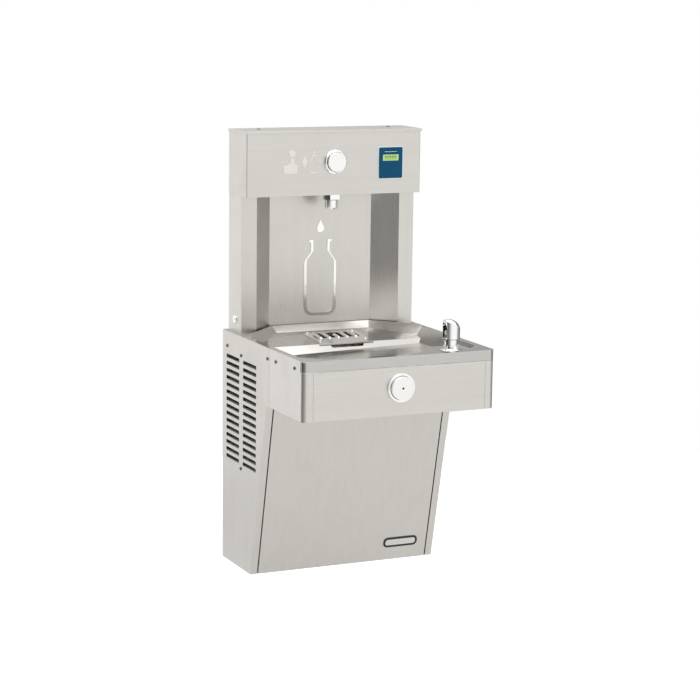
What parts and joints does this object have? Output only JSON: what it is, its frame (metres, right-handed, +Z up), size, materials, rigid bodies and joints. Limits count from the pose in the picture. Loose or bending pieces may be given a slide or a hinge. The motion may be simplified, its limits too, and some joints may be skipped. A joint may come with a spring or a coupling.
{
  "type": "bottle filling station",
  "caption": "Wall-hung drinking water cooler: a louvred steel cabinet with a basin, bubbler and push button, and a tower with a bottle alcove, nozzle, fill button and display in its hood.",
  "frame": {"origin": "middle of the cabinet's four wall bolts, on the wall plane, 300 mm above the cabinet's bottom", "axes": "+Y into the wall, +Z up, +X to the right seen from the front; the front faces -Y"},
  "size_m": [0.471, 0.487, 1.02],
  "materials": {
    "stainless_body": "brushed",
    "stainless_basin": "polished",
    "stainless_tower": "brushed",
    "chassis_steel": "galvanised",
    "chrome_fittings": "polished",
    "dark_screws": "satin",
    "bright_screws": "satin",
    "button_face": "gloss",
    "spring_steel": "satin",
    "brass_parts": "satin",
    "black_paint": "satin",
    "rubber_feet": "matt",
    "fin_aluminium": "satin",
    "black_plastic": "matt",
    "white_plastic": "matt",
    "tank_foam": "matt",
    "copper_tube": "satin",
    "water_tube": "satin",
    "grey_paint": "satin",
    "display_blue": "gloss",
    "display_window": "gloss",
    "board_green": "satin",
    "badge_metal": "satin"
  },
  "bodies": {
    "station": {"back_frame": "chassis_steel", "base_pan": "chassis_steel", "side_left": "stainless_body", "side_right": "stainless_body", "side_rails": "chassis_steel", "panel_screws": "dark_screws", "lower_front": "stainless_body", "badge_plate": "badge_metal", "apron": "stainless_body", "basin": "stainless_basin", "drain_grate": "stainless_basin", "grate_screws": "bright_screws", "bubbler_base": "chrome_fittings", "bubbler_hood": "chrome_fittings", "bubbler_nut": "brass_parts", "tailpiece": "chrome_fittings", "drain_trap": "chrome_fittings", "trap_nuts": "chrome_fittings", "push_bezel": "button_face", "push_spring": "spring_steel", "regulator_valve": "brass_parts", "compressor": "black_paint", "compressor_feet": "rubber_feet", "condenser": "fin_aluminium", "fan_shroud": "black_plastic", "fan_motor": "grey_paint", "cooling_tank": "tank_foam", "refrigerant_lines": "copper_tube", "filter_drier": "copper_tube", "filter_head": "white_plastic", "water_lines": "water_tube", "inlet_fitting": "brass_parts", "thermostat": "white_plastic", "junction_box": "grey_paint", "tower_back": "chassis_steel", "upright_left": "stainless_tower", "upright_right": "stainless_tower", "alcove_liner": "stainless_tower", "lock_housing": "chrome_fittings", "hood_shell": "stainless_tower", "hood_cap": "stainless_tower", "cap_screws": "dark_screws", "hood_floor": "stainless_tower", "fill_ring": "chrome_fittings", "fill_spring": "spring_steel", "fill_switch": "black_plastic", "display_panel": "display_blue", "display_lens": "display_window", "control_board": "board_green", "nozzle": "chrome_fittings", "nozzle_nut": "brass_parts", "solenoid_valve": "black_plastic"},
    "fill_button": {"fill_button": "button_face"},
    "switch_plunger": {"switch_plunger": "white_plastic"},
    "push_button": {"push_button": "button_face"},
    "valve_stem": {"valve_stem": "spring_steel"},
    "lock": {"lock_plug": "chrome_fittings"},
    "fan": {"fan_blade": "white_plastic"},
    "thermostat_knob": {"thermostat_knob": "black_plastic"},
    "filter": {"filter_cartridge": "white_plastic"}
  },
  "joints": [
    {"name": "fill_button_slide", "type": "slide", "parent": "station", "child": "fill_button", "axis": [0, 1, 0], "range_m": [0, 0.004], "stiffness_N_per_m": 1000, "springref_m": -0.004, "deforming": ["fill_spring"]},
    {"name": "switch_plunger_slide", "type": "slide", "parent": "station", "child": "switch_plunger", "axis": [0, 1, 0], "range_m": [0, 0.004]},
    {"name": "push_button_slide", "type": "slide", "parent": "station", "child": "push_button", "axis": [0, 1, 0], "range_m": [0, 0.004], "stiffness_N_per_m": 1500, "springref_m": -0.004, "deforming": ["push_spring"]},
    {"name": "valve_stem_slide", "type": "slide", "parent": "station", "child": "valve_stem", "axis": [0, 1, 0], "range_m": [0, 0.004]},
    {"name": "lock_turn", "type": "hinge", "parent": "station", "child": "lock", "pos_m": [-0.21875, -0.04, 0.277], "axis": [1, 0, 0], "range_deg": [0, 90]},
    {"name": "fan_spin", "type": "hinge", "parent": "station", "child": "fan", "pos_m": [-0.187, -0.115, 0.04], "axis": [1, 0, 0], "continuous": true},
    {"name": "thermostat_turn", "type": "hinge", "parent": "station", "child": "thermostat_knob", "pos_m": [0.211, -0.134, 0.0225], "axis": [0, -1, 0], "range_deg": [0, 270]},
    {"name": "filter_turn", "type": "hinge", "parent": "station", "child": "filter", "pos_m": [-0.062, -0.07, 0], "axis": [0, 0, 1], "range_deg": [0, 90]}
  ],
  "couplings": [
    {"joint": "switch_plunger_slide", "follows": "fill_button_slide", "ratio": 1},
    {"joint": "valve_stem_slide", "follows": "push_button_slide", "ratio": 1}
  ]
}
